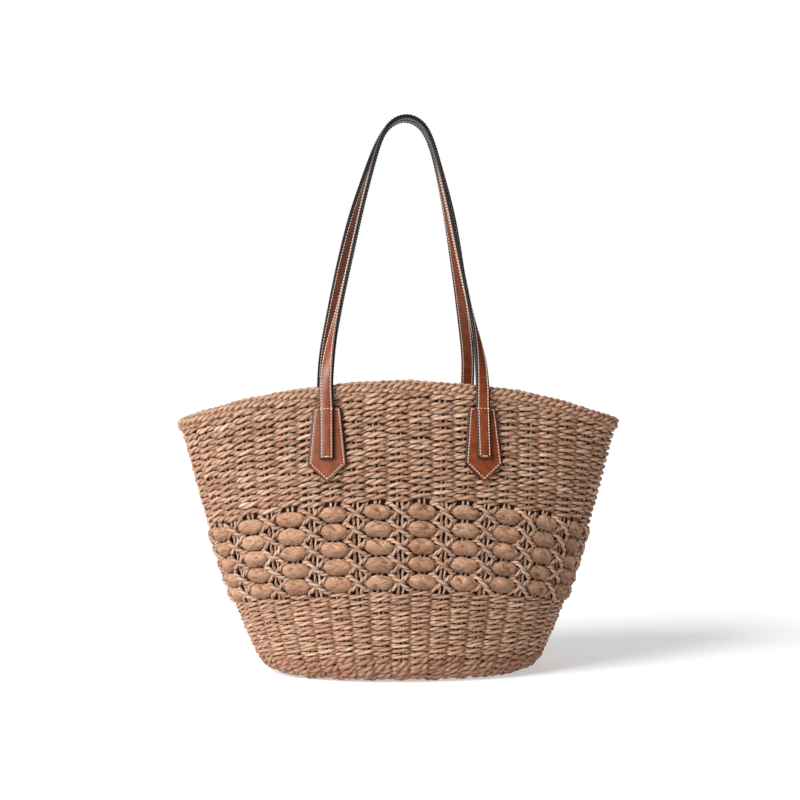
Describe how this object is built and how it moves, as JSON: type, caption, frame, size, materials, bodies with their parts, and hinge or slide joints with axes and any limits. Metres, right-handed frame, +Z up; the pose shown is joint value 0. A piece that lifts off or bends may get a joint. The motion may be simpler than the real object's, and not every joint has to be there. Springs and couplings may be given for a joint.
{
  "type": "beach bag",
  "caption": "Woven straw beach tote with a flared oval body, an open-work band, a braided rim and two swinging flat leather handles on pointed tabs.",
  "frame": {"origin": "middle of the footprint, on the surface the bag stands on", "axes": "+Z up, the mouth and the base are long along X, -Y is the front"},
  "size_m": [0.4574, 0.2072, 0.5713],
  "materials": {
    "straw": "matte",
    "lining_fabric": "matte",
    "leather": "gloss",
    "backing_leather": "satin",
    "thread": "matte",
    "snap_metal": "satin"
  },
  "bodies": {
    "basket": {"base_weave": "straw", "base_border": "straw", "lower_wall": "straw", "openwork_row_1": "straw", "openwork_row_2": "straw", "openwork_row_3": "straw", "openwork_row_4": "straw", "openwork_row_5": "straw", "upright_stakes": "straw", "upper_wall": "straw", "rim_braid": "straw", "lining": "lining_fabric", "inner_pocket": "lining_fabric", "snap_stud": "snap_metal", "snap_socket": "snap_metal", "front_left_tab": "leather", "front_right_tab": "leather", "back_left_tab": "leather", "back_right_tab": "leather", "front_left_strap_end": "leather", "front_right_strap_end": "leather", "back_left_strap_end": "leather", "back_right_strap_end": "leather", "tab_stitches": "thread"},
    "front_handle": {"front_strap": "leather", "front_strap_backing": "backing_leather"},
    "back_handle": {"back_strap": "leather", "back_strap_backing": "backing_leather"}
  },
  "joints": [
    {"name": "front_handle_swing", "type": "hinge", "parent": "basket", "child": "front_handle", "pos_m": [0, -0.0747, 0.2714], "axis": [1, 0, 0], "range_deg": [0, 160]},
    {"name": "back_handle_swing", "type": "hinge", "parent": "basket", "child": "back_handle", "pos_m": [0, 0.0747, 0.2714], "axis": [-1, 0, 0], "range_deg": [0, 160]}
  ]
}
